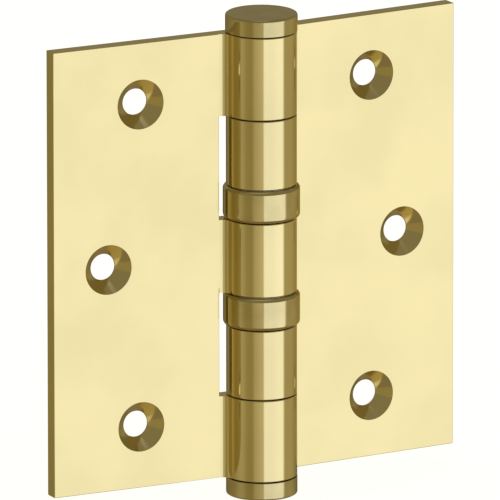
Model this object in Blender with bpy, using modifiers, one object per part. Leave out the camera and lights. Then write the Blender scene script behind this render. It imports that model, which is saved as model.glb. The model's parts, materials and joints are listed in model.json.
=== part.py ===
"""A double ball-bearing butt hinge in polished brass, 102 x 102 mm, laid open.

The pin's axis is Z and its middle is the origin. The frame leaf reaches towards -X and the door leaf
towards +X. The countersunk faces look along -Y, and the door leaf is swung a little past flat, to +Y.
The barrel has five knuckles. The frame leaf holds the first, third and fifth, and the door leaf the
second and fourth. A ball bearing stands on each side of the middle knuckle. Each bearing has a casing
with two race washers, a cage and twelve balls. The steel pin hangs from its brass head, and a brass
plug closes the barrel's lower end.
"""

import math

import bmesh
import bpy

MM = 0.001

# Leaves
LEAF_HEIGHT = 102.0 * MM
LEAF_REACH = 50.8 * MM  # from the pin's axis to the leaf's free edge
LEAF_THICKNESS = 3.5 * MM
FACE_SETBACK = 1.2 * MM  # the countersunk faces lie this far behind the pin's axis
NOTCH_REACH = 9.9 * MM  # from the pin's axis to the edge cut back round the other leaf's knuckles
PLATE_ROOT = 5.0 * MM  # where the plate ends, inside the knuckles' walls
ROOT_ROUNDING = 2.0 * MM  # the hollow corner between a leaf's face and its knuckles
ROOT_STEPS = 5
ROOT_OVERLAP = 0.15 * MM  # how deep the corner's piece starts in the plate and the knuckle
DOOR_LEAF_SWING = math.radians(4.5)  # past flat

# Barrel, from the middle outwards
MIDDLE_KNUCKLE_LENGTH = 17.0 * MM
BEARING_HEIGHT = 7.6 * MM
DOOR_KNUCKLE_LENGTH = 16.0 * MM
BARREL_RADIUS = 7.95 * MM
KNUCKLE_CHAMFER = 0.25 * MM
JOINT_GAP = 0.2 * MM  # between neighbours in the barrel

# Pin, head and plug
PIN_RADIUS = 4.0 * MM
PIN_CLEARANCE = 0.1 * MM
PIN_END = -44.0 * MM
PIN_LEAD = 1.0 * MM  # the taper at the pin's lower end
PIN_SPIGOT_RADIUS = 3.0 * MM
PIN_SPIGOT_LENGTH = 2.4 * MM
HEAD_RADIUS = 8.1 * MM
PLUG_RADIUS = 8.0 * MM
TIP_HEIGHT = 4.0 * MM
TIP_ROUNDING = 0.5 * MM
PLUG_SPIGOT_LENGTH = 5.6 * MM
SEAT_GAP = 0.05 * MM  # round and under a piece that is pressed or seated in another

# Screw holes
SCREW_HOLE_RADIUS = 3.0 * MM
COUNTERSINK_RADIUS = 5.6 * MM
COUNTERSINK_ANGLE = math.radians(82.0)
OUTER_HOLE_REACH = 29.3 * MM
MIDDLE_HOLE_REACH = 37.3 * MM
OUTER_HOLE_HEIGHT = 37.0 * MM

# Ball bearings
CASING_RADIUS = 8.67 * MM
CASING_WALL = 0.97 * MM
CASING_FLOOR = 0.7 * MM
CASING_ROUNDING = 0.9 * MM
BALL_RADIUS = 1.2 * MM
BALL_COUNT = 12
BALL_CIRCLE_RADIUS = 5.9 * MM
GROOVE_CLEARANCE = 0.12 * MM
RACE_TO_BALL_CENTRE = 0.9 * MM  # from the balls' plane to each race's near face
CAGE_THICKNESS = 0.8 * MM
CAGE_OUTER_RADIUS = 7.45 * MM
CAGE_INNER_RADIUS = 4.3 * MM
CAGE_POCKET_RADIUS = 1.32 * MM

# Facets
ROUND_STEPS = 40
INNER_STEPS = 32
POCKET_STEPS = 10
BALL_SEGMENTS = 10
BALL_RINGS = 6
ROUNDING_STEPS = 3
MERGE_DISTANCE = 0.001 * MM

# Places that follow from the sizes above
BARREL_TOP = LEAF_HEIGHT / 2
BEARING_INNER = MIDDLE_KNUCKLE_LENGTH / 2
BEARING_OUTER = BEARING_INNER + BEARING_HEIGHT
END_JOINT = BEARING_OUTER + DOOR_KNUCKLE_LENGTH
BEARING_CENTRE = (BEARING_INNER + BEARING_OUTER) / 2
HALF_GAP = JOINT_GAP / 2
BORE_RADIUS = PIN_RADIUS + PIN_CLEARANCE
HEAD_UNDERSIDE = BARREL_TOP + JOINT_GAP
CASING_BORE_RADIUS = CASING_RADIUS - CASING_WALL
CASING_HALF_HEIGHT = BEARING_HEIGHT / 2 - HALF_GAP
RACE_RADIUS = CASING_BORE_RADIUS - PIN_CLEARANCE
RACE_STACK_BOTTOM = -CASING_HALF_HEIGHT + CASING_FLOOR + SEAT_GAP
RACE_STACK_TOP = BEARING_HEIGHT / 2 + HALF_GAP - SEAT_GAP
BALL_PLANE = (RACE_STACK_BOTTOM + RACE_STACK_TOP) / 2
PAST_THE_PART = 5.0 * MM  # how far a cutter runs past what it cuts


def clear_scene():
    """Removes every object, so that the script gives the same scene each time it runs."""
    for old in list(bpy.data.objects):
        bpy.data.objects.remove(old, do_unlink=True)


def new_collection(name):
    """A fresh collection in the scene."""
    old = bpy.data.collections.get(name)
    if old:
        bpy.data.collections.remove(old)
    collection = bpy.data.collections.new(name)
    bpy.context.scene.collection.children.link(collection)
    return collection


def metal(name, colour, roughness):
    """A metallic Principled material."""
    material = bpy.data.materials.new(name)
    material.use_nodes = True
    shader = material.node_tree.nodes["Principled BSDF"]
    shader.inputs["Base Color"].default_value = (*colour, 1.0)
    shader.inputs["Metallic"].default_value = 1.0
    shader.inputs["Roughness"].default_value = roughness
    material.diffuse_color = (*colour, 1.0)
    return material


clear_scene()
HINGE = new_collection("door_hinge")
CUTTERS = new_collection("door_hinge_cutters")

LEAF_BRASS = metal("leaf_brass", (0.86, 0.73, 0.40), 0.12)
TIP_BRASS = metal("tip_brass", (0.80, 0.66, 0.34), 0.15)
CASING_BRASS = metal("casing_brass", (0.82, 0.68, 0.36), 0.15)
CAGE_BRASS = metal("cage_brass", (0.72, 0.56, 0.28), 0.35)
PIN_STEEL = metal("pin_steel", (0.56, 0.56, 0.57), 0.30)
RACE_STEEL = metal("race_steel", (0.62, 0.62, 0.64), 0.22)
BALL_STEEL = metal("ball_steel", (0.75, 0.75, 0.77), 0.08)


def add_object(name, data, collection, material=None):
    """Links a mesh or a curve as a named object in a collection."""
    thing = bpy.data.objects.new(name, data)
    collection.objects.link(thing)
    if material:
        data.materials.append(material)
    return thing


def make_cutter(thing):
    """Marks an object as a cutter, shown as wire and never rendered."""
    thing.display_type = "WIRE"
    thing.hide_render = True
    return thing


def box(name, low, high, collection, material=None):
    """A box between two corners."""
    mesh = bpy.data.meshes.new(name)
    shape = bmesh.new()
    bmesh.ops.create_cube(shape, size=1.0)
    size = [h - l for l, h in zip(low, high)]
    middle = [(l + h) / 2 for l, h in zip(low, high)]
    bmesh.ops.scale(shape, vec=size, verts=shape.verts)
    bmesh.ops.translate(shape, vec=middle, verts=shape.verts)
    shape.to_mesh(mesh)
    shape.free()
    return add_object(name, mesh, collection, material)


def arc(centre_radius, centre_z, rounding, start, end, steps=ROUNDING_STEPS):
    """Points of an arc in a profile, from one angle to the other, in degrees from outwards to up."""
    angles = [math.radians(start + (end - start) * i / steps) for i in range(steps + 1)]
    return [
        (centre_radius + rounding * math.cos(a), centre_z + rounding * math.sin(a)) for a in angles
    ]


def turned(name, profile, collection, material=None, ring=False, steps=ROUND_STEPS):
    """A profile of (radius, height) points turned about Z.

    The profile runs down its outer side. A ring's profile closes on itself, and any other profile
    starts and ends on the axis.
    """
    mesh = bpy.data.meshes.new(name)
    shape = bmesh.new()
    points = [shape.verts.new((radius, 0.0, height)) for radius, height in profile]
    for first, second in zip(points, points[1:]):
        shape.edges.new((first, second))
    if ring:
        shape.edges.new((points[-1], points[0]))
    shape.to_mesh(mesh)
    shape.free()
    thing = add_object(name, mesh, collection, material)
    screw = thing.modifiers.new("Turn", "SCREW")
    screw.axis = "Z"
    screw.angle = math.tau
    screw.steps = steps
    screw.render_steps = steps
    screw.use_merge_vertices = True
    screw.merge_threshold = MERGE_DISTANCE
    screw.use_smooth_shade = True
    return thing


def combine(thing, other, operation):
    """Adds an EXACT Boolean modifier. The other shape hangs from the same axis as the thing itself."""
    other.parent = thing.parent
    boolean = thing.modifiers.new(other.name, "BOOLEAN")
    boolean.solver = "EXACT"
    boolean.operation = operation
    boolean.object = other


def knuckle(name, low, high):
    """A knuckle bored for the pin, with a small chamfer round both ends."""
    shoulder = BARREL_RADIUS - KNUCKLE_CHAMFER
    profile = [
        (shoulder, high),
        (BARREL_RADIUS, high - KNUCKLE_CHAMFER),
        (BARREL_RADIUS, low + KNUCKLE_CHAMFER),
        (shoulder, low),
        (BORE_RADIUS, low),
        (BORE_RADIUS, high),
    ]
    return make_cutter(turned(name, profile, CUTTERS, ring=True))


def prism(name, outline, low, high, collection):
    """An upright prism over an outline of (x, y) points."""
    mesh = bpy.data.meshes.new(name)
    shape = bmesh.new()
    base = [shape.verts.new((x, y, low)) for x, y in outline]
    made = bmesh.ops.extrude_face_region(shape, geom=[shape.faces.new(base)])["geom"]
    top = [vert for vert in made if isinstance(vert, bmesh.types.BMVert)]
    bmesh.ops.translate(shape, vec=(0.0, 0.0, high - low), verts=top)
    bmesh.ops.recalc_face_normals(shape, faces=shape.faces)
    shape.to_mesh(mesh)
    shape.free()
    return add_object(name, mesh, collection)


def root(name, side, low, high):
    """The metal that rounds the hollow corner between a leaf's face and one of its knuckles."""
    span = BARREL_RADIUS + ROOT_ROUNDING
    centre_y = FACE_SETBACK - ROOT_ROUNDING
    centre_x = math.sqrt(span**2 - centre_y**2)
    out_x = centre_x / span
    out_y = centre_y / span
    end = math.atan2(out_x, -out_y)
    outline = [(centre_x + 2 * ROOT_OVERLAP, FACE_SETBACK + ROOT_OVERLAP)]
    for step in range(1, ROOT_STEPS):
        angle = end * step / ROOT_STEPS
        x = centre_x - ROOT_ROUNDING * math.sin(angle)
        y = centre_y + ROOT_ROUNDING * math.cos(angle)
        outline.append((x, y))
    inside = BARREL_RADIUS - ROOT_OVERLAP
    along = 2 * ROOT_OVERLAP
    outline.append((inside * out_x + along * out_y, inside * out_y - along * out_x))
    middle = (BORE_RADIUS + BARREL_RADIUS) / 2
    outline.append((middle * out_x, middle * out_y))
    outline.append((middle, FACE_SETBACK + LEAF_THICKNESS / 2))
    outline.append((centre_x + 2 * ROOT_OVERLAP, FACE_SETBACK + LEAF_THICKNESS / 2))
    placed = [(side * x, y) for x, y in outline]
    return make_cutter(prism(name, placed, low, high, CUTTERS))


def screw_hole_cutter(name, reach, height):
    """A screw hole along Y, with its countersink opening towards -Y."""
    slope = math.tan(COUNTERSINK_ANGLE / 2)
    countersink_depth = (COUNTERSINK_RADIUS - SCREW_HOLE_RADIUS) / slope
    mouth_radius = COUNTERSINK_RADIUS + PAST_THE_PART * slope
    bottom = -LEAF_THICKNESS - PAST_THE_PART
    profile = [
        (0.0, PAST_THE_PART),
        (mouth_radius, PAST_THE_PART),
        (SCREW_HOLE_RADIUS, -countersink_depth),
        (SCREW_HOLE_RADIUS, bottom),
        (0.0, bottom),
    ]
    cutter = turned(name, profile, CUTTERS, steps=INNER_STEPS)
    cutter.rotation_euler = (math.pi / 2, 0.0, 0.0)
    cutter.location = (reach, FACE_SETBACK, height)
    return make_cutter(cutter)


def leaf(name, side, knuckles, notches, swing=None):
    """One leaf, flat in the frame of its axis. side is -1 for a leaf that reaches to -X and 1 for +X.

    knuckles and notches are lists of (low, high) heights.
    """
    edges = sorted((side * PLATE_ROOT, side * LEAF_REACH))
    plate = box(
        name,
        (edges[0], FACE_SETBACK, -LEAF_HEIGHT / 2),
        (edges[1], FACE_SETBACK + LEAF_THICKNESS, LEAF_HEIGHT / 2),
        HINGE,
        LEAF_BRASS,
    )
    plate.parent = swing
    for number, (low, high) in enumerate(notches, 1):
        inner = sorted((0.0, side * NOTCH_REACH))
        cutter = box(
            f"{name}_notch_{number}",
            (inner[0], FACE_SETBACK - PAST_THE_PART, low),
            (inner[1], FACE_SETBACK + LEAF_THICKNESS + PAST_THE_PART, high),
            CUTTERS,
        )
        combine(plate, make_cutter(cutter), "DIFFERENCE")
    for number, (low, high) in enumerate(knuckles, 1):
        combine(plate, knuckle(f"{name}_knuckle_{number}", low, high), "UNION")
        combine(plate, root(f"{name}_root_{number}", side, low, high), "UNION")
    holes = (
        ("top", OUTER_HOLE_REACH, OUTER_HOLE_HEIGHT),
        ("middle", MIDDLE_HOLE_REACH, 0.0),
        ("bottom", OUTER_HOLE_REACH, -OUTER_HOLE_HEIGHT),
    )
    for place, reach, height in holes:
        cutter = screw_hole_cutter(f"{name}_hole_{place}", side * reach, height)
        combine(plate, cutter, "DIFFERENCE")


def frame_leaf():
    """The fixed leaf, with the end knuckles and the middle one."""
    inner = BEARING_INNER - HALF_GAP
    outer = END_JOINT + HALF_GAP
    knuckles = [(outer, BARREL_TOP), (-inner, inner), (-BARREL_TOP, -outer)]
    notches = [(inner, outer), (-outer, -inner)]
    leaf("frame_leaf", -1, knuckles, notches)


def door_leaf(swing):
    """The swinging leaf, with the second and fourth knuckles."""
    inner = BEARING_OUTER + HALF_GAP
    outer = END_JOINT - HALF_GAP
    past_end = BARREL_TOP + PAST_THE_PART
    knuckles = [(inner, outer), (-outer, -inner)]
    notches = [(outer, past_end), (-inner, inner), (-past_end, -outer)]
    leaf("door_leaf", 1, knuckles, notches, swing)


def axis_empty(name, height=0.0, turn=0.0):
    """An empty on the pin's axis, to carry the pieces that move together."""
    empty = add_object(name, None, HINGE)
    empty.location = (0.0, 0.0, height)
    empty.rotation_euler = (0.0, 0.0, turn)
    empty.empty_display_size = BARREL_RADIUS
    return empty


def hinge_pin(lift):
    """The steel pin, with a spigot that is pressed into its head and a tapered lower end."""
    shoulder = HEAD_UNDERSIDE - SEAT_GAP
    spigot_top = HEAD_UNDERSIDE + PIN_SPIGOT_LENGTH
    profile = [
        (0.0, spigot_top),
        (PIN_SPIGOT_RADIUS, spigot_top),
        (PIN_SPIGOT_RADIUS, shoulder),
        (PIN_RADIUS, shoulder),
        (PIN_RADIUS, PIN_END + PIN_LEAD),
        (PIN_RADIUS - PIN_LEAD / 2, PIN_END),
        (0.0, PIN_END),
    ]
    pin = turned("hinge_pin", profile, HINGE, PIN_STEEL)
    pin.parent = lift


def pin_head(lift):
    """The brass button tip on the pin, with a blind socket for the pin's spigot."""
    top = HEAD_UNDERSIDE + TIP_HEIGHT
    socket_radius = PIN_SPIGOT_RADIUS + SEAT_GAP
    socket_top = HEAD_UNDERSIDE + PIN_SPIGOT_LENGTH + SEAT_GAP
    rounded = arc(HEAD_RADIUS - TIP_ROUNDING, top - TIP_ROUNDING, TIP_ROUNDING, 90, 0)
    profile = [
        (0.0, top),
        *rounded,
        (HEAD_RADIUS, HEAD_UNDERSIDE),
        (socket_radius, HEAD_UNDERSIDE),
        (socket_radius, socket_top),
        (0.0, socket_top),
    ]
    head = turned("pin_head_tip", profile, HINGE, TIP_BRASS)
    head.parent = lift


def bottom_plug():
    """The brass button tip whose spigot is pressed into the lowest knuckle."""
    shoulder = -HEAD_UNDERSIDE
    bottom = shoulder - TIP_HEIGHT
    spigot_radius = BORE_RADIUS - SEAT_GAP
    spigot_top = shoulder + PLUG_SPIGOT_LENGTH
    rounded = arc(PLUG_RADIUS - TIP_ROUNDING, bottom + TIP_ROUNDING, TIP_ROUNDING, 0, -90)
    profile = [
        (0.0, spigot_top),
        (spigot_radius - TIP_ROUNDING, spigot_top),
        (spigot_radius, spigot_top - TIP_ROUNDING),
        (spigot_radius, shoulder),
        (PLUG_RADIUS, shoulder),
        *rounded,
        (0.0, bottom),
    ]
    turned("bottom_tip_plug", profile, HINGE, TIP_BRASS)


def casing(name):
    """A bearing's brass casing, a cup with rounded outer edges and a hole for the pin in its floor."""
    top = CASING_HALF_HEIGHT
    bottom = -CASING_HALF_HEIGHT
    centre = CASING_RADIUS - CASING_ROUNDING
    floor_top = bottom + CASING_FLOOR
    profile = [
        *arc(centre, top - CASING_ROUNDING, CASING_ROUNDING, 90, 0),
        *arc(centre, bottom + CASING_ROUNDING, CASING_ROUNDING, 0, -90),
        (BORE_RADIUS, bottom),
        (BORE_RADIUS, floor_top),
        (CASING_BORE_RADIUS, floor_top),
        (CASING_BORE_RADIUS, top),
    ]
    return turned(name, profile, HINGE, CASING_BRASS, ring=True)


def race(name, low, high, groove_on_top):
    """A race washer with a round groove for the balls in its top or its bottom face."""
    groove_radius = BALL_RADIUS + GROOVE_CLEARANCE
    edge = math.degrees(math.asin(RACE_TO_BALL_CENTRE / groove_radius))
    inner_top = [(BORE_RADIUS, high)]
    outer_bottom = [(RACE_RADIUS, low)]
    if groove_on_top:
        groove = arc(BALL_CIRCLE_RADIUS, BALL_PLANE, groove_radius, edge - 180, -edge)
        profile = [(RACE_RADIUS, high), *outer_bottom, (BORE_RADIUS, low), *inner_top, *groove]
    else:
        groove = arc(BALL_CIRCLE_RADIUS, BALL_PLANE, groove_radius, edge, 180 - edge)
        profile = [(RACE_RADIUS, high), *outer_bottom, *groove, (BORE_RADIUS, low), *inner_top]
    return turned(name, profile, HINGE, RACE_STEEL, ring=True, steps=INNER_STEPS)


def circle_spline(curve, centre, radius, steps):
    """Adds a closed round outline to a flat curve."""
    spline = curve.splines.new("POLY")
    spline.points.add(steps - 1)
    spline.use_cyclic_u = True
    for number, point in enumerate(spline.points):
        angle = math.tau * number / steps
        x = centre[0] + radius * math.cos(angle)
        y = centre[1] + radius * math.sin(angle)
        point.co = (x, y, 0.0, 1.0)


def ball_place(number):
    """The centre of a ball in the bearing's own plane."""
    angle = math.tau * number / BALL_COUNT
    return (BALL_CIRCLE_RADIUS * math.cos(angle), BALL_CIRCLE_RADIUS * math.sin(angle))


def cage(name):
    """The flat cage that keeps the balls apart, with a round pocket for each."""
    curve = bpy.data.curves.new(name, "CURVE")
    curve.dimensions = "2D"
    curve.fill_mode = "BOTH"
    curve.extrude = CAGE_THICKNESS / 2
    circle_spline(curve, (0.0, 0.0), CAGE_OUTER_RADIUS, INNER_STEPS)
    circle_spline(curve, (0.0, 0.0), CAGE_INNER_RADIUS, INNER_STEPS)
    for number in range(BALL_COUNT):
        circle_spline(curve, ball_place(number), CAGE_POCKET_RADIUS, POCKET_STEPS)
    return add_object(name, curve, HINGE, CAGE_BRASS)


def ball_mesh():
    """One ball's mesh, which all the balls share."""
    mesh = bpy.data.meshes.new("bearing_ball")
    shape = bmesh.new()
    bmesh.ops.create_uvsphere(
        shape, u_segments=BALL_SEGMENTS, v_segments=BALL_RINGS, radius=BALL_RADIUS
    )
    shape.to_mesh(mesh)
    shape.free()
    mesh.materials.append(BALL_STEEL)
    mesh.shade_smooth()
    return mesh


def bearing(name, centre, ball):
    """A thrust bearing. Returns its pieces: casing, bottom race and top race."""
    low_face = BALL_PLANE - RACE_TO_BALL_CENTRE
    high_face = BALL_PLANE + RACE_TO_BALL_CENTRE
    pieces = [
        casing(f"{name}_bearing_casing"),
        race(f"{name}_bearing_bottom_race", RACE_STACK_BOTTOM, low_face, True),
        race(f"{name}_bearing_top_race", high_face, RACE_STACK_TOP, False),
    ]
    for piece in pieces:
        piece.location = (0.0, 0.0, centre)
    ring = axis_empty(f"{name}_ball_ring_axis", centre + BALL_PLANE)
    cage(f"{name}_bearing_cage").parent = ring
    for number in range(BALL_COUNT):
        piece = add_object(f"{name}_ball_{number + 1:02d}", ball, HINGE)
        piece.parent = ring
        piece.location = (*ball_place(number), 0.0)
    return pieces


def build_hinge():
    """Makes every piece and groups what moves together."""
    swing = axis_empty("leaf_swing_axis", turn=DOOR_LEAF_SWING)
    lift = axis_empty("pin_lift_axis")
    frame_leaf()
    door_leaf(swing)
    hinge_pin(lift)
    pin_head(lift)
    bottom_plug()
    ball = ball_mesh()
    upper_top_race = bearing("upper", BEARING_CENTRE, ball)[2]
    lower_casing, lower_bottom_race, _ = bearing("lower", -BEARING_CENTRE, ball)
    for piece in (upper_top_race, lower_casing, lower_bottom_race):
        piece.parent = swing


build_hinge()
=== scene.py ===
"""The looks of a polished brass ball-bearing butt hinge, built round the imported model."""

import json
import math

import bmesh
import bpy
from mathutils import Matrix, Vector

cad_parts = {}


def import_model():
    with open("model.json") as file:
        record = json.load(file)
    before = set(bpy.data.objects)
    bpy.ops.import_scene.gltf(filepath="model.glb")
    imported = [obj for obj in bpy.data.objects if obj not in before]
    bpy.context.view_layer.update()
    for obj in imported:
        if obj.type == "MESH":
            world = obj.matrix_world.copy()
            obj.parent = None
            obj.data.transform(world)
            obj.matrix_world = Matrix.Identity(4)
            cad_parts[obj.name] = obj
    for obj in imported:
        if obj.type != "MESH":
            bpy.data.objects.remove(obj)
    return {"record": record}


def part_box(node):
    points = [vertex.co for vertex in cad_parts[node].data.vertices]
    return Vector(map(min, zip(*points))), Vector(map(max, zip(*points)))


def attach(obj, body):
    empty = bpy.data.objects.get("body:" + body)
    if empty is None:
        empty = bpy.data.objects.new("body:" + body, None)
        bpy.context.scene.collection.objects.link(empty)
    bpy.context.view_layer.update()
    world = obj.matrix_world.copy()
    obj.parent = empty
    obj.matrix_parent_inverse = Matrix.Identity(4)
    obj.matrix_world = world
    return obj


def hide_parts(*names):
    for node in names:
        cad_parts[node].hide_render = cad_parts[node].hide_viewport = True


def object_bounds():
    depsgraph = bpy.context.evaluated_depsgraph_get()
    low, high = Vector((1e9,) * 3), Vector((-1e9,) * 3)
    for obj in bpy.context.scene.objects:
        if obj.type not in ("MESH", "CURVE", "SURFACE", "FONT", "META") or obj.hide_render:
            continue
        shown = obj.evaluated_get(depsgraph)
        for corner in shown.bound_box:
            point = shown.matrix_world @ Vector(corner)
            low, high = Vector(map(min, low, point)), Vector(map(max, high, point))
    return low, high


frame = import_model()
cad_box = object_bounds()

MM = 0.001
RECORD = frame["record"]
BODY_OF = {n: body for body, nodes in RECORD["behaviour"]["bodies"].items() for n in nodes}
SLOT_OF = {row["node"]: row["material_slot"] for row in RECORD["subparts"]}
MOUNTS = {m["name"]: m for m in RECORD["mounts"]}

# Sizes read from the frame
LEAF_LOW, LEAF_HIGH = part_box("frame_leaf")
LEAF_REACH = -LEAF_LOW.x
LEAF_TOP = LEAF_HIGH.z
BARREL_RADIUS = -LEAF_LOW.y
LEAF_BACK = MOUNTS["frame_leaf_back"]["pos_m"][1]
DOOR_NORMAL = MOUNTS["door_leaf_back"]["axis"]
DOOR_SWING = math.atan2(-DOOR_NORMAL[0], DOOR_NORMAL[1])

# Sizes that the frame's boxes don't give
LEAF_THICKNESS = 3.5 * MM
NOTCH_REACH = 9.9 * MM
PLATE_ROOT = 5.0 * MM
PLATE_RELIEF = 0.02 * MM  # keeps the plate's edges just off the knuckles' end faces
BORE_RADIUS = 4.1 * MM
PIN_SPIGOT_RADIUS = 3.0 * MM
SEAT_GAP = 0.05 * MM  # round and over a piece that is seated in another
ROOT_ROUNDING = 2.0 * MM  # the hollow corner between a leaf's face and its knuckles
ROOT_STEPS = 24
ROOT_OVERLAP = 0.15 * MM
ROOT_RAMP = 0.1  # how steeply the corner's piece dips into the plate and the knuckle
SCREW_HOLE_RADIUS = 3.0 * MM
COUNTERSINK_RADIUS = 5.6 * MM
COUNTERSINK_ANGLE = math.radians(82.0)
HOLE_PLACES = ((29.3 * MM, 37.0 * MM), (37.3 * MM, 0.0), (29.3 * MM, -37.0 * MM))
END_JOINT = 32.1 * MM  # height of the joints between the leaves' outer knuckles
PAST_THE_PART = 4.0 * MM  # how far a hole's cutter reaches beyond the leaf's faces

# Rounded edges
PLATE_EDGE = 0.12 * MM
KNUCKLE_EDGE = 0.22 * MM
HOLE_EDGE = 0.08 * MM
FINE_EDGE = 0.12 * MM  # on the tips' joints, the races and the cages
HEAD_RIM = 0.55 * MM
PLUG_RIM = 0.45 * MM
SPIGOT_RIM = 0.2 * MM
PLUG_LEAD = 0.5 * MM
SOCKET_MOUTH = 0.05 * MM
INNER_CORNER = 0.1 * MM
PIN_TAPER_LENGTH = 1.0 * MM
PIN_TAPER_DEPTH = 0.5 * MM
PIN_TAPER_ROUNDING = 0.8 * MM

# Bearings
CASING_WALL = 0.97 * MM
CASING_FLOOR = 0.7 * MM
CASING_EDGE = 0.85 * MM
CASING_LIP = 0.02 * MM
BALL_CIRCLE_RADIUS = 5.9 * MM
BALL_RADIUS = 1.2 * MM
GROOVE_RADIUS = 1.32 * MM
CAGE_INNER_RADIUS = 4.3 * MM
CAGE_POCKET_RADIUS = 1.3 * MM
CAGE_POCKET_LIP = 0.06 * MM

# Fineness
BARREL_STEPS = 160
SMALL_STEPS = 96
FILLET_STEPS = 4
PLATE_EDGE_STEPS = 3
GROOVE_STEPS = 16
POCKET_STEPS = 40
BALL_SUBDIVISIONS = 4
SUPPORT_SPAN = 0.6  # from a fillet to its support point, as a share of the fillet's radius
SUPPORT_LIMIT = 0.3  # the same, as a share of the straight stretch beside it
WELD_DISTANCE = 0.0005 * MM
SMOOTH_ANGLE = math.radians(35.0)
SQUARE_TO_AXIS = 0.999999  # a face is square to an axis from this much of its normal along it


# ---------------------------------------------------------------- mesh tools


def filleted(corners, ring):
    """A profile of (radius, height) points from corners given as (radius, height, fillet).

    Each fillet gets an arc, and a support point on either side of it, so that the faces next to it
    are shaded as true cylinders and planes.
    """
    points = []
    count = len(corners)
    for i, (radius, height, fillet) in enumerate(corners):
        here = Vector((radius, height))
        at_end = not ring and i in (0, count - 1)
        if at_end or fillet == 0.0:
            points.append(here)
            continue
        before = Vector(corners[i - 1][:2]) - here
        after = Vector(corners[(i + 1) % count][:2]) - here
        half = before.angle(after) / 2
        tangent = fillet / math.tan(half)
        straight = min(before.length, after.length) - tangent
        support = min(fillet * SUPPORT_SPAN, straight * SUPPORT_LIMIT)
        before.normalize()
        after.normalize()
        centre = here + (before + after).normalized() * (fillet / math.sin(half))
        start = here + before * tangent - centre
        turn = start.angle_signed(here + after * tangent - centre)
        points.append(here + before * (tangent + support))
        for step in range(FILLET_STEPS + 1):
            spoke = start.copy()
            spoke.rotate(Matrix.Rotation(-turn * step / FILLET_STEPS, 2))
            points.append(centre + spoke)
        points.append(here + after * (tangent + support))
    return points


def turned_mesh(name, corners, ring=False, steps=SMALL_STEPS):
    """A mesh turned about Z from a filleted profile."""
    points = filleted(corners, ring)
    shape = bmesh.new()
    verts = [shape.verts.new((p.x, 0.0, p.y)) for p in points]
    pairs = list(zip(verts, verts[1:]))
    if ring:
        pairs.append((verts[-1], verts[0]))
    edges = [shape.edges.new(pair) for pair in pairs]
    bmesh.ops.spin(
        shape, geom=verts + edges, angle=math.tau, steps=steps, axis=(0, 0, 1), cent=(0, 0, 0)
    )
    bmesh.ops.remove_doubles(shape, verts=shape.verts, dist=WELD_DISTANCE)
    bmesh.ops.recalc_face_normals(shape, faces=shape.faces)
    return finish_mesh(name, shape)


def shade_finely(mesh):
    """Shades a mesh smooth, except where it bends strongly and on faces square to an axis."""
    mesh.set_sharp_from_angle(angle=SMOOTH_ANGLE)  # this makes every face smooth, so it comes first
    for face in mesh.polygons:
        face.use_smooth = max(abs(c) for c in face.normal) < SQUARE_TO_AXIS


def finish_mesh(name, shape):
    """Turns a bmesh into a shaded mesh."""
    mesh = bpy.data.meshes.new(name)
    shape.to_mesh(mesh)
    shape.free()
    shade_finely(mesh)
    return mesh


def new_object(name, mesh):
    """Links a mesh as an object in the scene."""
    thing = bpy.data.objects.new(name, mesh)
    bpy.context.scene.collection.objects.link(thing)
    return thing


def apply_booleans(thing, steps):
    """Joins or cuts a thing with other meshes, one after the other, and removes them."""
    tools = []
    for mesh, matrix, operation in steps:
        tool = new_object("tool", mesh)
        tool.matrix_world = matrix
        boolean = thing.modifiers.new("boolean", "BOOLEAN")
        boolean.solver = "EXACT"
        boolean.operation = operation
        boolean.object = tool
        tools.append(tool)
    bpy.context.view_layer.update()
    graph = bpy.context.evaluated_depsgraph_get()
    result = bpy.data.meshes.new_from_object(thing.evaluated_get(graph))
    thing.modifiers.clear()
    thing.data = result
    for tool in tools:
        bpy.data.objects.remove(tool)
    shade_finely(result)


def stand_for(piece, node, material):
    """The piece replaces a CAD node: it rides on that node's body and has its finish."""
    piece.data.materials.clear()
    piece.data.materials.append(material)
    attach(piece, BODY_OF[node])
    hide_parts(node)


# ---------------------------------------------------------------- materials


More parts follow.
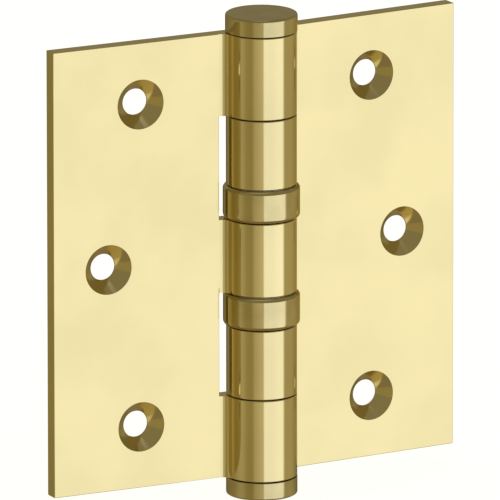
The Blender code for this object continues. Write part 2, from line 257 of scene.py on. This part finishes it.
class Shader:
    """A material's node tree with short calls for the nodes that these finishes use."""

    def __init__(self, name):
        self.material = bpy.data.materials.new(name)
        self.material.use_nodes = True
        self.nodes = self.material.node_tree.nodes
        self.links = self.material.node_tree.links
        self.principled = self.nodes["Principled BSDF"]
        self.place = self.nodes.new("ShaderNodeTexCoord").outputs["Object"]

    def feed(self, socket, value):
        """Gives an input a constant or another node's output."""
        if isinstance(value, (int, float, tuple)):
            socket.default_value = value
        else:
            self.links.new(value, socket)

    def noise(self, scale, detail, stretch=(1.0, 1.0, 1.0)):
        """Noise over the place, stretched by a factor along each axis."""
        mapping = self.nodes.new("ShaderNodeMapping")
        mapping.inputs["Scale"].default_value = stretch
        self.feed(mapping.inputs["Vector"], self.place)
        noise = self.nodes.new("ShaderNodeTexNoise")
        noise.inputs["Scale"].default_value = scale
        noise.inputs["Detail"].default_value = detail
        self.feed(noise.inputs["Vector"], mapping.outputs[0])
        return noise.outputs["Fac"]

    def spread(self, value, low, high, to_low=0.0, to_high=1.0):
        """Maps a value from one range to another, with smooth ends."""
        spread = self.nodes.new("ShaderNodeMapRange")
        spread.interpolation_type = "SMOOTHSTEP"
        self.feed(spread.inputs["Value"], value)
        limits = (low, high, to_low, to_high)
        for label, limit in zip(("From Min", "From Max", "To Min", "To Max"), limits):
            self.feed(spread.inputs[label], limit)
        return spread.outputs["Result"]

    def tint(self, amount, first, second):
        """A mix of two colours."""
        mix = self.nodes.new("ShaderNodeMix")
        mix.data_type = "RGBA"
        self.feed(mix.inputs["Factor"], amount)
        colour_inputs = [s for s in mix.inputs if s.type == "RGBA"]
        for socket, colour in zip(colour_inputs, (first, second)):
            self.feed(socket, colour)
        return [s for s in mix.outputs if s.type == "RGBA"][0]

    def bump(self, height, strength):
        """Roughens the surface's shading by a very small height."""
        bump = self.nodes.new("ShaderNodeBump")
        bump.inputs["Strength"].default_value = strength
        bump.inputs["Distance"].default_value = BUMP_HEIGHT
        self.feed(bump.inputs["Height"], height)
        self.feed(self.principled.inputs["Normal"], bump.outputs["Normal"])

    def metal(self, colour, roughness):
        """Sets the metallic surface's colour and roughness."""
        self.principled.inputs["Metallic"].default_value = 1.0
        self.feed(self.principled.inputs["Base Color"], colour)
        self.feed(self.principled.inputs["Roughness"], roughness)
        return self.material


def shade(colour, factor):
    """A colour with its brightness changed, as red, green, blue and alpha."""
    return (colour[0] * factor, colour[1] * factor, colour[2] * factor, 1.0)


BUMP_HEIGHT = 0.02 * MM
CLOUD_SPAN = (0.35, 0.65)  # the noise values between which a colour changes
SMEAR_SPAN = (0.3, 0.7)  # and those between which the roughness does
BRASS = (0.76, 0.665, 0.36)
TIP_BRASS = shade(BRASS, 0.80)
CASING_BRASS = shade(BRASS, 0.87)
CAGE_BRASS = (0.60, 0.46, 0.22)
PIN_STEEL = (0.50, 0.50, 0.51)
RACE_STEEL = (0.58, 0.58, 0.60)
BALL_STEEL = (0.74, 0.74, 0.76)


def leaf_finish(name, roughness):
    """Polished sheet brass, with a faint cloudiness and upright buffing lines."""
    s = Shader(name)
    cloud = s.noise(45.0, 4.0)
    colour = s.tint(s.spread(cloud, *CLOUD_SPAN), shade(BRASS, 0.97), shade(BRASS, 1.03))
    smear = s.noise(160.0, 5.0, (1.0, 1.0, 0.35))
    lines = s.noise(900.0, 2.0, (1.0, 1.0, 0.04))
    s.bump(lines, 0.02)
    return s.metal(colour, s.spread(smear, *SMEAR_SPAN, *roughness))


def turned_finish(name, colour, roughness, ring_pitch, strength):
    """Turned and polished metal, with faint rings round its axis."""
    s = Shader(name)
    cloud = s.noise(220.0, 4.0)
    tone = s.tint(s.spread(cloud, *CLOUD_SPAN), shade(colour, 0.95), shade(colour, 1.05))
    smear = s.noise(500.0, 4.0, (0.3, 0.3, 1.0))
    rings = s.noise(1.0 / ring_pitch, 2.0, (0.02, 0.02, 1.0))
    s.bump(rings, strength)
    return s.metal(tone, s.spread(smear, *SMEAR_SPAN, *roughness))


# Roughness is given as (lowest, highest), then the pitch and the strength of the turned rings.
FINISHES = {
    "leaf_brass": leaf_finish("leaf_brass_polished", (0.085, 0.125)),
    "tip_brass": turned_finish("tip_brass_turned", TIP_BRASS, (0.08, 0.12), 0.2 * MM, 0.02),
    "casing_brass": turned_finish("casing_brass_turned", CASING_BRASS, (0.08, 0.12), 0.2 * MM, 0.02),
    "cage_brass": turned_finish("cage_brass_pressed", CAGE_BRASS, (0.28, 0.40), 0.5 * MM, 0.05),
    "pin_steel": turned_finish("pin_steel_ground", PIN_STEEL, (0.22, 0.34), 0.15 * MM, 0.12),
    "race_steel": turned_finish("race_steel_ground", RACE_STEEL, (0.16, 0.26), 0.15 * MM, 0.06),
    "ball_steel": turned_finish("ball_steel_polished", BALL_STEEL, (0.04, 0.08), 0.4 * MM, 0.01),
}


def finish_of(node):
    """The finish of a CAD node's material slot."""
    return FINISHES[SLOT_OF[node]]


# ---------------------------------------------------------------- leaves


def plate_mesh(name, side, notches):
    """A flat plate with notches, its edges slightly rounded. Notches are (low, high) heights."""
    top = LEAF_TOP - PLATE_RELIEF
    outline = [(PLATE_ROOT, top), (LEAF_REACH, top), (LEAF_REACH, -top), (PLATE_ROOT, -top)]
    steps = []
    for low, high in sorted(notches):
        low = low - PLATE_RELIEF
        high = high + PLATE_RELIEF
        if high >= top:
            outline[0] = (NOTCH_REACH, top)
            steps += [(PLATE_ROOT, low), (NOTCH_REACH, low)]
        elif low <= -top:
            outline[3] = (NOTCH_REACH, -top)
            steps += [(NOTCH_REACH, high), (PLATE_ROOT, high)]
        else:
            steps += [(PLATE_ROOT, low), (NOTCH_REACH, low), (NOTCH_REACH, high), (PLATE_ROOT, high)]
    front = LEAF_BACK - LEAF_THICKNESS
    shape = bmesh.new()
    verts = [shape.verts.new((side * x, front, z)) for x, z in outline + steps]
    face = shape.faces.new(verts)
    made = bmesh.ops.extrude_face_region(shape, geom=[face])["geom"]
    back = [v for v in made if isinstance(v, bmesh.types.BMVert)]
    bmesh.ops.translate(shape, verts=back, vec=(0.0, LEAF_THICKNESS, 0.0))
    bmesh.ops.recalc_face_normals(shape, faces=shape.faces)
    bmesh.ops.bevel(
        shape, geom=list(shape.edges), offset=PLATE_EDGE, offset_type="OFFSET", segments=PLATE_EDGE_STEPS,
        profile=0.5, affect="EDGES", clamp_overlap=True,
    )
    return finish_mesh(name, shape)


def knuckle_mesh(low, high):
    """A knuckle, bored for the pin, with rounded ends."""
    corners = [
        (BARREL_RADIUS, high, KNUCKLE_EDGE),
        (BARREL_RADIUS, low, KNUCKLE_EDGE),
        (BORE_RADIUS, low, HOLE_EDGE),
        (BORE_RADIUS, high, HOLE_EDGE),
    ]
    return turned_mesh("knuckle", corners, ring=True, steps=BARREL_STEPS)


def root_mesh(side, low, high):
    """The metal that rounds the hollow corner between a leaf's face and one of its knuckles."""
    front = LEAF_BACK - LEAF_THICKNESS
    span = BARREL_RADIUS + ROOT_ROUNDING
    centre_y = front - ROOT_ROUNDING
    centre_x = math.sqrt(span**2 - centre_y**2)
    out = Vector((centre_x, centre_y)) / span
    forwards = Vector((out.y, -out.x))
    end = math.atan2(out.x, -out.y)
    outline = [Vector((centre_x + ROOT_OVERLAP, front + ROOT_OVERLAP * ROOT_RAMP))]
    for step in range(1, ROOT_STEPS):
        angle = end * step / ROOT_STEPS
        spoke = Vector((-math.sin(angle), math.cos(angle)))
        outline.append(Vector((centre_x, centre_y)) + ROOT_ROUNDING * spoke)
    inside = BARREL_RADIUS - ROOT_OVERLAP * ROOT_RAMP
    outline.append(inside * out + ROOT_OVERLAP * forwards)
    middle = (BORE_RADIUS + BARREL_RADIUS) / 2
    behind = front + LEAF_THICKNESS / 2
    outline += [middle * out, Vector((middle, behind)), Vector((centre_x + ROOT_OVERLAP, behind))]
    shape = bmesh.new()
    base = [shape.verts.new((side * p.x, p.y, low)) for p in outline]
    made = bmesh.ops.extrude_face_region(shape, geom=[shape.faces.new(base)])["geom"]
    upper = [v for v in made if isinstance(v, bmesh.types.BMVert)]
    bmesh.ops.translate(shape, verts=upper, vec=(0.0, 0.0, high - low))
    bmesh.ops.recalc_face_normals(shape, faces=shape.faces)
    return finish_mesh("root", shape)


def countersink_mesh():
    """The space of a screw hole about Z: the hole, its countersink and broken edges at both faces."""
    slope = math.tan(COUNTERSINK_ANGLE / 2)
    depth = (COUNTERSINK_RADIUS - SCREW_HOLE_RADIUS) / slope
    corners = [
        (0.0, PAST_THE_PART, 0.0),
        (COUNTERSINK_RADIUS + HOLE_EDGE + PAST_THE_PART * 3, PAST_THE_PART, 0.0),
        (COUNTERSINK_RADIUS + HOLE_EDGE, 0.0, 0.0),
        (COUNTERSINK_RADIUS, -HOLE_EDGE, 0.0),
        (SCREW_HOLE_RADIUS, -depth, 0.0),
        (SCREW_HOLE_RADIUS, HOLE_EDGE - LEAF_THICKNESS, 0.0),
        (SCREW_HOLE_RADIUS + HOLE_EDGE, -LEAF_THICKNESS, 0.0),
        (SCREW_HOLE_RADIUS + HOLE_EDGE + PAST_THE_PART, -LEAF_THICKNESS - PAST_THE_PART, 0.0),
        (0.0, -LEAF_THICKNESS - PAST_THE_PART, 0.0),
    ]
    return turned_mesh("countersink", corners)


def leaf(node, side, knuckles, notches, swing):
    """A whole leaf: plate, knuckles and screw holes as one body, turned by its swing about the pin."""
    piece = new_object(f"{node}_polished", plate_mesh(node, side, notches))
    here = Matrix.Identity(4)
    steps = []
    for low, high in knuckles:
        steps.append((knuckle_mesh(low, high), here, "UNION"))
        steps.append((root_mesh(side, low + PLATE_RELIEF, high - PLATE_RELIEF), here, "UNION"))
    front = LEAF_BACK - LEAF_THICKNESS
    for reach, height in HOLE_PLACES:
        place = Matrix.Translation((side * reach, front, height)) @ Matrix.Rotation(math.pi / 2, 4, "X")
        steps.append((countersink_mesh(), place, "DIFFERENCE"))
    apply_booleans(piece, steps)
    piece.data.transform(Matrix.Rotation(swing, 4, "Z"))
    stand_for(piece, node, finish_of(node))


def leaves():
    """Both leaves, with the knuckles and notches that the bearings' and the ends' joints give."""
    casing_low, casing_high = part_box("upper_bearing_casing")
    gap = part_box("pin_head_tip")[0].z - LEAF_TOP
    middle = casing_low.z - gap
    door_low = casing_high.z + gap
    door_high = END_JOINT - gap / 2
    end_low = END_JOINT + gap / 2
    top = LEAF_TOP
    leaf("frame_leaf", -1,
         [(end_low, top), (-middle, middle), (-top, -end_low)],
         [(middle, end_low), (-end_low, -middle)], 0.0)
    leaf("door_leaf", 1,
         [(door_low, door_high), (-door_high, -door_low)],
         [(door_high, top), (-door_low, door_low), (-top, -door_high)], DOOR_SWING)


leaves()

# ---------------------------------------------------------------- pin, tips


def radius_of(node):
    """Half a round node's width."""
    low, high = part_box(node)
    return (high.x - low.x) / 2


def pin():
    """The ground steel pin, with a tapered end and a spigot for its head."""
    low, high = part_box("hinge_pin")
    radius = radius_of("hinge_pin")
    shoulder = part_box("pin_head_tip")[0].z - SEAT_GAP
    corners = [
        (0.0, high.z, 0.0),
        (PIN_SPIGOT_RADIUS, high.z, SPIGOT_RIM),
        (PIN_SPIGOT_RADIUS, shoulder, 0.0),
        (radius, shoulder, INNER_CORNER),
        (radius, low.z + PIN_TAPER_LENGTH, PIN_TAPER_ROUNDING),
        (radius - PIN_TAPER_DEPTH, low.z, SPIGOT_RIM),
        (0.0, low.z, 0.0),
    ]
    piece = new_object("hinge_pin_ground", turned_mesh("hinge_pin", corners))
    stand_for(piece, "hinge_pin", finish_of("hinge_pin"))


def head():
    """The pin's button head, with a rounded rim and a socket for the pin."""
    low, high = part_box("pin_head_tip")
    radius = radius_of("pin_head_tip")
    socket = PIN_SPIGOT_RADIUS + SEAT_GAP
    socket_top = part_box("hinge_pin")[1].z + SEAT_GAP
    corners = [
        (0.0, high.z, 0.0),
        (radius, high.z, HEAD_RIM),
        (radius, low.z, FINE_EDGE),
        (socket, low.z, SOCKET_MOUTH),
        (socket, socket_top, INNER_CORNER),
        (0.0, socket_top, 0.0),
    ]
    mesh = turned_mesh("pin_head_tip", corners, steps=BARREL_STEPS)
    stand_for(new_object("pin_head_tip_turned", mesh), "pin_head_tip", finish_of("pin_head_tip"))


def plug():
    """The lower button tip, with the spigot that is pressed into the barrel."""
    low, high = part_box("bottom_tip_plug")
    radius = radius_of("bottom_tip_plug")
    shoulder = -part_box("pin_head_tip")[0].z
    spigot = BORE_RADIUS - SEAT_GAP
    corners = [
        (0.0, high.z, 0.0),
        (spigot, high.z, PLUG_LEAD),
        (spigot, shoulder, 0.0),
        (radius, shoulder, FINE_EDGE),
        (radius, low.z, PLUG_RIM),
        (0.0, low.z, 0.0),
    ]
    mesh = turned_mesh("bottom_tip_plug", corners, steps=BARREL_STEPS)
    piece = new_object("bottom_tip_plug_turned", mesh)
    stand_for(piece, "bottom_tip_plug", finish_of("bottom_tip_plug"))


pin()
head()
plug()

# ---------------------------------------------------------------- bearings


def casing(node):
    """A bearing's casing: a cup with well-rounded outer edges."""
    low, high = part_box(node)
    radius = radius_of(node)
    bore = radius - CASING_WALL
    floor_top = low.z + CASING_FLOOR
    corners = [
        (radius, high.z, CASING_EDGE),
        (radius, low.z, CASING_EDGE),
        (BORE_RADIUS, low.z, HOLE_EDGE),
        (BORE_RADIUS, floor_top, HOLE_EDGE),
        (bore, floor_top, INNER_CORNER),
        (bore, high.z, CASING_LIP),
    ]
    mesh = turned_mesh(node, corners, ring=True, steps=BARREL_STEPS)
    stand_for(new_object(f"{node}_turned", mesh), node, finish_of(node))


def race(node, ball_plane):
    """A race washer with its ball groove."""
    low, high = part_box(node)
    radius = radius_of(node)
    above = low.z > ball_plane
    near = (low.z if above else high.z) - ball_plane
    reach = math.sqrt(GROOVE_RADIUS**2 - near**2)
    first = math.atan2(near, reach)
    last = math.atan2(near, -reach)
    if not above:
        last -= math.tau if last > first else 0.0
    groove = []
    for step in range(GROOVE_STEPS + 1):
        angle = first + (last - first) * step / GROOVE_STEPS
        out = BALL_CIRCLE_RADIUS + GROOVE_RADIUS * math.cos(angle)
        groove.append((out, ball_plane + GROOVE_RADIUS * math.sin(angle), 0.0))
    edge = FINE_EDGE
    if above:
        corners = [(radius, high.z, edge), (radius, low.z, edge), *groove,
                   (BORE_RADIUS, low.z, edge), (BORE_RADIUS, high.z, edge)]
    else:
        corners = [(radius, low.z, edge), (BORE_RADIUS, low.z, edge), (BORE_RADIUS, high.z, edge),
                   *reversed(groove), (radius, high.z, edge)]
    mesh = turned_mesh(node, corners, ring=True)
    stand_for(new_object(f"{node}_ground", mesh), node, finish_of(node))


def cage(node, balls):
    """The pressed cage: a thin ring with a rounded pocket for each ball."""
    low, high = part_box(node)
    middle = (low.z + high.z) / 2
    outer = radius_of(node)
    corners = [(outer, high.z, FINE_EDGE), (outer, low.z, FINE_EDGE),
               (CAGE_INNER_RADIUS, low.z, FINE_EDGE), (CAGE_INNER_RADIUS, high.z, FINE_EDGE)]
    piece = new_object(f"{node}_pressed", turned_mesh(node, corners, ring=True))
    half = (high.z - low.z) / 2
    lip = CAGE_POCKET_LIP
    mouth = CAGE_POCKET_RADIUS + lip
    upper_pocket = [
        (0.0, half * 2, 0.0),
        (mouth, half * 2, 0.0),
        (mouth, half - lip / 2, 0.0),
        (CAGE_POCKET_RADIUS, half - lip * 2, 0.0),
    ]
    pocket = upper_pocket + [(radius, -height, 0.0) for radius, height, _ in reversed(upper_pocket)]
    steps = []
    for ball in balls:
        centre = sum(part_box(ball), Vector()) / 2
        place = Matrix.Translation((centre.x, centre.y, middle))
        steps.append((turned_mesh("pocket", pocket, steps=POCKET_STEPS), place, "DIFFERENCE"))
    apply_booleans(piece, steps)
    stand_for(piece, node, finish_of(node))


def ball_mesh():
    """One polished ball, shared by all."""
    shape = bmesh.new()
    bmesh.ops.create_icosphere(shape, subdivisions=BALL_SUBDIVISIONS, radius=BALL_RADIUS)
    mesh = finish_mesh("bearing_ball", shape)
    mesh.materials.append(FINISHES["ball_steel"])
    return mesh


def bearing(name, shared_ball):
    """Every piece of one bearing."""
    balls = sorted(n for n in BODY_OF if n.startswith(f"{name}_ball_"))
    plane = sum(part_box(f"{name}_bearing_cage"), Vector()).z / 2
    casing(f"{name}_bearing_casing")
    race(f"{name}_bearing_top_race", plane)
    race(f"{name}_bearing_bottom_race", plane)
    cage(f"{name}_bearing_cage", balls)
    for node in balls:
        low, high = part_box(node)
        piece = new_object(f"{node}_polished", shared_ball)
        piece.location = ((low.x + high.x) / 2, (low.y + high.y) / 2, plane)
        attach(piece, BODY_OF[node])
        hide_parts(node)


ball = ball_mesh()
bearing("upper", ball)
bearing("lower", ball)

# ---------------------------------------------------------------- studio


FLOOR_RADIUS = 1.3
FLOOR_DROP = 0.02 * MM  # below the hinge's lowest point
FLOOR_COLOUR = (0.8, 0.8, 0.8, 1.0)
FLOOR_ROUGHNESS = 0.9
FLOOR_GLOW = 0.86
WHITE = (1.0, 1.0, 1.0, 1.0)


def floor():
    """A plain pale floor under the hinge, lit evenly and left out of its reflections."""
    shape = bmesh.new()
    bmesh.ops.create_circle(shape, cap_ends=True, segments=SMALL_STEPS, radius=FLOOR_RADIUS)
    thing = new_object("floor", finish_mesh("floor", shape))
    thing.location.z = cad_box[0].z - FLOOR_DROP
    material = bpy.data.materials.new("floor_pale")
    material.use_nodes = True
    shader = material.node_tree.nodes["Principled BSDF"]
    shader.inputs["Base Color"].default_value = FLOOR_COLOUR
    shader.inputs["Roughness"].default_value = FLOOR_ROUGHNESS
    shader.inputs["Specular IOR Level"].default_value = 0.0
    shader.inputs["Emission Color"].default_value = WHITE
    shader.inputs["Emission Strength"].default_value = FLOOR_GLOW
    thing.data.materials.append(material)
    thing.visible_glossy = False


# The studio's walls and panels, level with the hinge and somewhat below it, as (degrees right of
# straight ahead of the faces, brightness). The dark walls are olive, and the tint fades out
# towards the white panels.
BANDS = (
    (-180, 0.22), (-150, 0.29), (-125, 0.34), (-101, 0.46), (-90, 0.45), (-75, 0.34),
    (-57, 0.32), (-48, 0.48), (-27, 0.60), (-20, 0.62), (-18, 1.12), (10, 1.14), (30, 1.22),
    (47, 1.22), (54, 0.45), (87, 0.44), (107, 0.34), (128, 0.20), (150, 0.12),
)
DARKEST_TINT = (1.0, 0.82, 0.36)
OLIVE_LEVEL = 0.33
WHITE_LEVEL = 1.1

# The other surroundings' colours, and the heights (the sine of the angle above level) between
# which one fades into the next
BELOW = (0.26, 0.20, 0.11, 1.0)
ABOVE = (0.26, 0.225, 0.14, 1.0)
OVERHEAD = (0.55, 0.52, 0.45, 1.0)
BELOW_TO_WALLS = (-0.62, -0.45)
WALLS_TO_ABOVE = (0.0, 0.12)
ABOVE_TO_OVERHEAD = (0.93, 0.99)


def tinted(level):
    """The colour of a band: olive when it is dark and white when it is a lit panel."""
    white = min(max((level - OLIVE_LEVEL) / (WHITE_LEVEL - OLIVE_LEVEL), 0.0), 1.0)
    return (*(level * (t + (1.0 - t) * white) for t in DARKEST_TINT), 1.0)


def world():
    """Soft studio surroundings, with broad lit panels and warm dark walls, which light the hinge and
    show in its metal. The camera itself sees a plain white backdrop."""
    made = bpy.data.worlds.new("studio")
    bpy.context.scene.world = made
    made.use_nodes = True
    nodes = made.node_tree.nodes
    links = made.node_tree.links
    nodes.clear()

    def node(kind, **settings):
        new = nodes.new(kind)
        for key, value in settings.items():
            setattr(new, key, value)
        return new

    def math_node(operation, first, second=0.0):
        new = node("ShaderNodeMath", operation=operation)
        for socket, value in zip(new.inputs, (first, second)):
            if isinstance(value, float):
                socket.default_value = value
            else:
                links.new(value, socket)
        return new.outputs[0]

    def blend(amount, first, second):
        new = node("ShaderNodeMix", data_type="RGBA")
        colour_inputs = [s for s in new.inputs if s.type == "RGBA"]
        for socket, value in zip((new.inputs["Factor"], *colour_inputs), (amount, first, second)):
            if isinstance(value, tuple):
                socket.default_value = value
            else:
                links.new(value, socket)
        return [s for s in new.outputs if s.type == "RGBA"][0]

    place = node("ShaderNodeTexCoord").outputs["Generated"]
    axes = node("ShaderNodeSeparateXYZ")
    links.new(place, axes.inputs[0])
    ahead = math_node("MULTIPLY", axes.outputs[1], -1.0)
    azimuth = math_node("ARCTAN2", axes.outputs[0], ahead)
    turn = math_node("ADD", math_node("DIVIDE", azimuth, math.tau), 0.5)
    ramp = node("ShaderNodeValToRGB")
    stops = ramp.color_ramp.elements
    while len(stops) > 1:
        stops.remove(stops[-1])
    for number, (degrees, level) in enumerate(BANDS):
        position = (degrees + 180) / 360
        stop = stops[0] if number == 0 else stops.new(position)
        stop.position = position
        stop.color = tinted(level)
    links.new(turn, ramp.inputs["Fac"])

    def step(low, high):
        new = node("ShaderNodeMapRange", interpolation_type="SMOOTHSTEP")
        links.new(axes.outputs[2], new.inputs["Value"])
        new.inputs["From Min"].default_value = low
        new.inputs["From Max"].default_value = high
        return new.outputs["Result"]

    walls = blend(step(*BELOW_TO_WALLS), BELOW, ramp.outputs["Color"])
    upper = blend(step(*WALLS_TO_ABOVE), walls, ABOVE)
    around = blend(step(*ABOVE_TO_OVERHEAD), upper, OVERHEAD)
    surroundings = node("ShaderNodeBackground")
    links.new(around, surroundings.inputs["Color"])
    backdrop = node("ShaderNodeBackground")
    backdrop.inputs["Color"].default_value = WHITE
    seen = node("ShaderNodeMixShader")
    links.new(node("ShaderNodeLightPath").outputs["Is Camera Ray"], seen.inputs[0])
    links.new(surroundings.outputs[0], seen.inputs[1])
    links.new(backdrop.outputs[0], seen.inputs[2])
    output = node("ShaderNodeOutputWorld")
    links.new(seen.outputs[0], output.inputs["Surface"])


CAMERA_LEFT = math.radians(26.09)
CAMERA_UP = math.radians(14.13)
CAMERA_ROLL = math.radians(0.06)
CAMERA_DISTANCE = 4.207
VIEW_WIDTH = 111.607 * MM  # how much of the pin's surroundings the picture takes in
AIM_RIGHT = -2.576 * MM  # from the pin's middle to the picture's middle
AIM_UP = 0.672 * MM
SENSOR_WIDTH = 36.0  # in the camera's own millimetres


def camera():
    """A long lens, seen from the left and a little above."""
    level = math.cos(CAMERA_UP)
    ahead = Vector((math.sin(CAMERA_LEFT) * level, math.cos(CAMERA_LEFT) * level, -math.sin(CAMERA_UP)))
    right = Vector((math.cos(CAMERA_LEFT), -math.sin(CAMERA_LEFT), 0.0))
    upwards = right.cross(ahead)
    data = bpy.data.cameras.new("camera")
    data.lens = SENSOR_WIDTH * CAMERA_DISTANCE / VIEW_WIDTH
    data.sensor_width = SENSOR_WIDTH
    data.clip_start = 0.5
    data.clip_end = 20.0
    thing = bpy.data.objects.new("camera", data)
    bpy.context.scene.collection.objects.link(thing)
    stand = right * AIM_RIGHT + upwards * AIM_UP - ahead * CAMERA_DISTANCE
    turn = Matrix((right, upwards, -ahead)).transposed().to_4x4()
    thing.matrix_world = Matrix.Translation(stand) @ turn @ Matrix.Rotation(-CAMERA_ROLL, 4, "Z")
    bpy.context.scene.camera = thing


floor()
world()
camera()
bpy.context.scene.view_settings.view_transform = "Standard"
